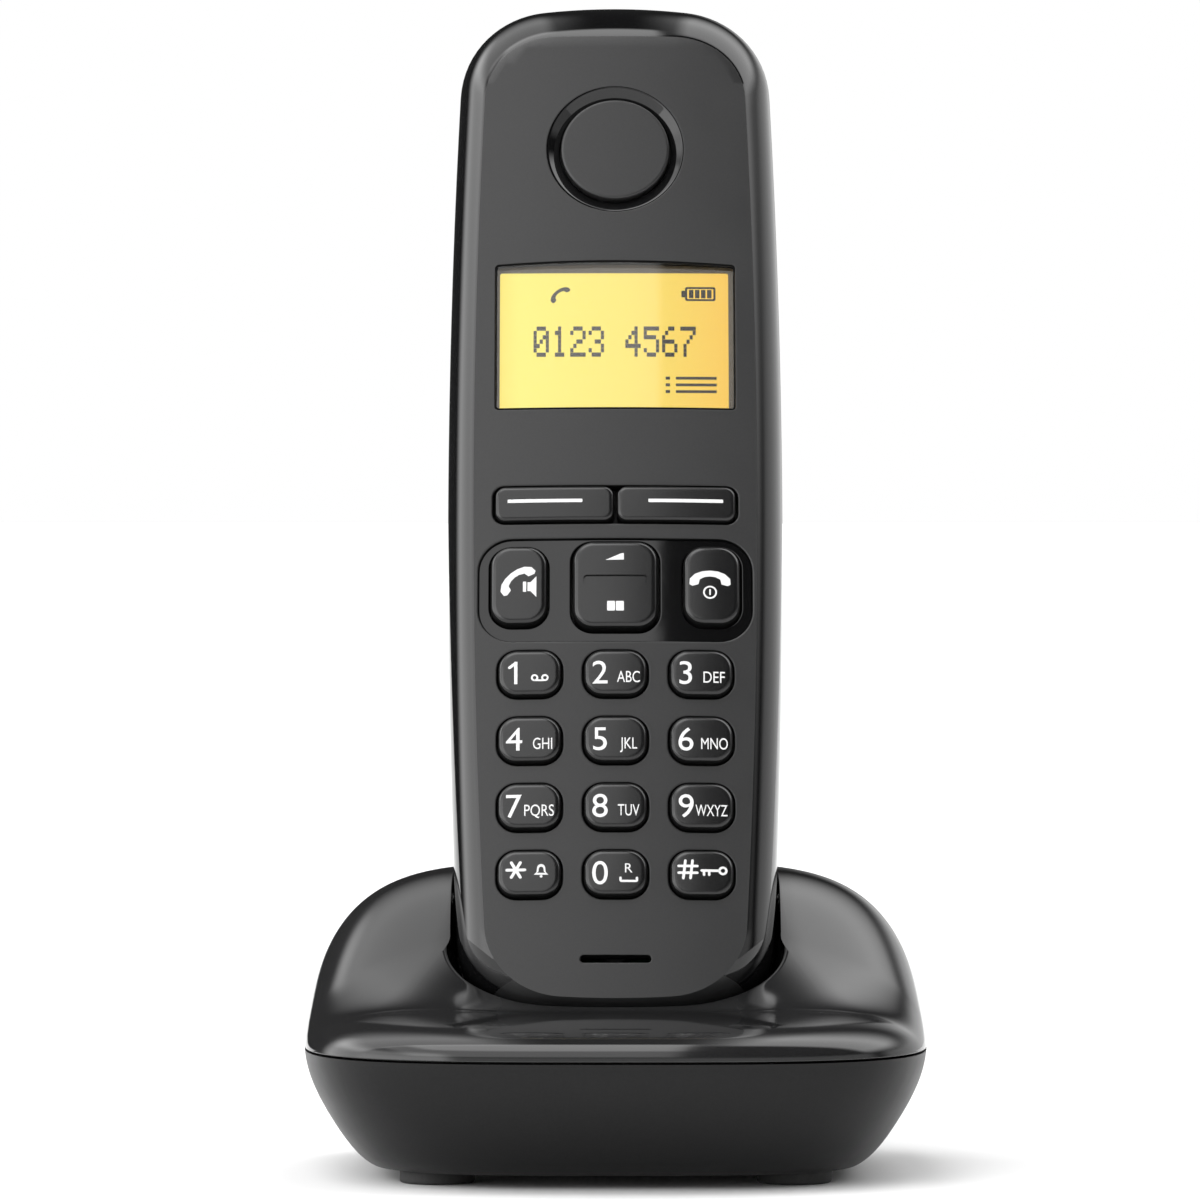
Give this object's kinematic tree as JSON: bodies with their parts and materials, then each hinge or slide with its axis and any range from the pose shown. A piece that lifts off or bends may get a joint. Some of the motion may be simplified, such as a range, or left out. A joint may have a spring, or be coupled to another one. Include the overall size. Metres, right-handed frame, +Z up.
{
  "type": "cordless phone with base",
  "caption": "Slim cordless phone handset with keypad, lit display and soft keys, leaning back in a rounded charging base.",
  "frame": {"origin": "on the surface the base stands on, under the middle of the whole docked phone's box", "axes": "+Z up, +X to the right seen from the keypad side, +Y to the rear, so the keypad faces -Y"},
  "size_m": [0.0838, 0.1, 0.159],
  "materials": {
    "face_plastic": "fine matte moulded grain on the face, polished bevel",
    "gloss_plastic": "polished black",
    "base_gloss": "polished black",
    "base_satin": "satin moulded grain",
    "back_plastic": "satin moulded grain",
    "disc_plastic": "fine matte",
    "key_plastic": "satin with white printed legends",
    "window": "clear acrylic window",
    "lcd": "amber backlit display",
    "light_guide": "clear light guide",
    "mat_rubber": "silicone rubber",
    "dome_steel": "tinned steel",
    "circuit_board": "green solder mask",
    "capsule": "stamped can",
    "cell_wrap": "shrink sleeve",
    "contact_metal": "gold plated",
    "screw_steel": "zinc plated",
    "foot_rubber": "soft rubber",
    "socket_plastic": "moulded nylon",
    "button_plastic": "satin",
    "component": "moulded"
  },
  "bodies": {
    "base": {"base_upper_shell": "base_gloss", "base_lower_shell": "base_satin", "base_board": "circuit_board", "base_feet": "foot_rubber", "base_screws": "screw_steel", "line_socket": "socket_plastic", "power_socket": "socket_plastic", "paging_switch": "socket_plastic", "base_rf_shield": "dome_steel", "line_transformer": "component", "base_capacitors": "component", "base_aerials": "dome_steel", "contact_holder": "socket_plastic"},
    "handset": {"back_shell": "back_plastic", "battery_cell_left": "cell_wrap", "battery_cell_right": "cell_wrap", "battery_plates": "contact_metal", "battery_springs": "contact_metal", "charge_pads": "contact_metal", "control_bezel": "gloss_plastic", "display_lens": "window", "display_light_guide": "light_guide", "display_module": "lcd", "earpiece_cap": "disc_plastic", "earpiece_ring": "gloss_plastic", "front_shell": "face_plastic", "handset_screws": "screw_steel", "keypad_mat": "mat_rubber", "main_board": "circuit_board", "microphone_capsule": "capsule", "receiver_capsule": "capsule", "rf_shield": "dome_steel", "ringer_speaker": "capsule", "snap_domes": "dome_steel"},
    "battery_door": {"battery_door": "back_plastic"},
    "nav_key": {"nav_key": "key_plastic"},
    "paging_button": {"paging_button": "button_plastic"},
    "charge_contact_left": {"charge_contact_left": "contact_metal"},
    "charge_contact_right": {"charge_contact_right": "contact_metal"},
    "key_0": {"key_0": "key_plastic"},
    "key_1": {"key_1": "key_plastic"},
    "key_2": {"key_2": "key_plastic"},
    "key_3": {"key_3": "key_plastic"},
    "key_4": {"key_4": "key_plastic"},
    "key_5": {"key_5": "key_plastic"},
    "key_6": {"key_6": "key_plastic"},
    "key_7": {"key_7": "key_plastic"},
    "key_8": {"key_8": "key_plastic"},
    "key_9": {"key_9": "key_plastic"},
    "key_hash": {"key_hash": "key_plastic"},
    "key_star": {"key_star": "key_plastic"},
    "soft_key_left": {"soft_key_left": "key_plastic"},
    "soft_key_right": {"soft_key_right": "key_plastic"},
    "talk_key": {"talk_key": "key_plastic"},
    "end_key": {"end_key": "key_plastic"}
  },
  "joints": [
    {"name": "handset_lift", "type": "slide", "parent": "base", "child": "handset", "axis": [0, 0.3875, 0.9219], "range_m": [0, 0.08]},
    {"name": "key_0_press", "type": "slide", "parent": "handset", "child": "key_0", "axis": [0, 0.9219, -0.3875], "range_m": [0, 0.0006], "stiffness_N_per_m": 1200},
    {"name": "key_1_press", "type": "slide", "parent": "handset", "child": "key_1", "axis": [0, 0.9219, -0.3875], "range_m": [0, 0.0006], "stiffness_N_per_m": 1200},
    {"name": "key_2_press", "type": "slide", "parent": "handset", "child": "key_2", "axis": [0, 0.9219, -0.3875], "range_m": [0, 0.0006], "stiffness_N_per_m": 1200},
    {"name": "key_3_press", "type": "slide", "parent": "handset", "child": "key_3", "axis": [0, 0.9219, -0.3875], "range_m": [0, 0.0006], "stiffness_N_per_m": 1200},
    {"name": "key_4_press", "type": "slide", "parent": "handset", "child": "key_4", "axis": [0, 0.9219, -0.3875], "range_m": [0, 0.0006], "stiffness_N_per_m": 1200},
    {"name": "key_5_press", "type": "slide", "parent": "handset", "child": "key_5", "axis": [0, 0.9219, -0.3875], "range_m": [0, 0.0006], "stiffness_N_per_m": 1200},
    {"name": "key_6_press", "type": "slide", "parent": "handset", "child": "key_6", "axis": [0, 0.9219, -0.3875], "range_m": [0, 0.0006], "stiffness_N_per_m": 1200},
    {"name": "key_7_press", "type": "slide", "parent": "handset", "child": "key_7", "axis": [0, 0.9219, -0.3875], "range_m": [0, 0.0006], "stiffness_N_per_m": 1200},
    {"name": "key_8_press", "type": "slide", "parent": "handset", "child": "key_8", "axis": [0, 0.9219, -0.3875], "range_m": [0, 0.0006], "stiffness_N_per_m": 1200},
    {"name": "key_9_press", "type": "slide", "parent": "handset", "child": "key_9", "axis": [0, 0.9219, -0.3875], "range_m": [0, 0.0006], "stiffness_N_per_m": 1200},
    {"name": "key_hash_press", "type": "slide", "parent": "handset", "child": "key_hash", "axis": [0, 0.9219, -0.3875], "range_m": [0, 0.0006], "stiffness_N_per_m": 1200},
    {"name": "key_star_press", "type": "slide", "parent": "handset", "child": "key_star", "axis": [0, 0.9219, -0.3875], "range_m": [0, 0.0006], "stiffness_N_per_m": 1200},
    {"name": "soft_key_left_press", "type": "slide", "parent": "handset", "child": "soft_key_left", "axis": [0, 0.9219, -0.3875], "range_m": [0, 0.0006], "stiffness_N_per_m": 1200},
    {"name": "soft_key_right_press", "type": "slide", "parent": "handset", "child": "soft_key_right", "axis": [0, 0.9219, -0.3875], "range_m": [0, 0.0006], "stiffness_N_per_m": 1200},
    {"name": "talk_key_press", "type": "slide", "parent": "handset", "child": "talk_key", "axis": [0, 0.9219, -0.3875], "range_m": [0, 0.0006], "stiffness_N_per_m": 1200},
    {"name": "end_key_press", "type": "slide", "parent": "handset", "child": "end_key", "axis": [0, 0.9219, -0.3875], "range_m": [0, 0.0006], "stiffness_N_per_m": 1200},
    {"name": "nav_rock", "type": "hinge", "parent": "handset", "child": "nav_key", "pos_m": [0, -0.00297, 0.07795], "axis": [1, 0, 0], "range_deg": [-3, 3], "stiffness_Nm_per_rad": 0.19},
    {"name": "battery_door_hinge", "type": "hinge", "parent": "handset", "child": "battery_door", "pos_m": [0, 0.0386, 0.12111], "axis": [1, 0, 0], "range_deg": [0, 25]},
    {"name": "charge_contact_left_sink", "type": "slide", "parent": "base", "child": "charge_contact_left", "axis": [0, -0.3875, -0.9219], "range_m": [0, 0.001], "stiffness_N_per_m": 300},
    {"name": "charge_contact_right_sink", "type": "slide", "parent": "base", "child": "charge_contact_right", "axis": [0, -0.3875, -0.9219], "range_m": [0, 0.001], "stiffness_N_per_m": 300},
    {"name": "paging_press", "type": "slide", "parent": "base", "child": "paging_button", "axis": [0, -1, 0], "range_m": [0, 0.0008], "stiffness_N_per_m": 1000}
  ]
}
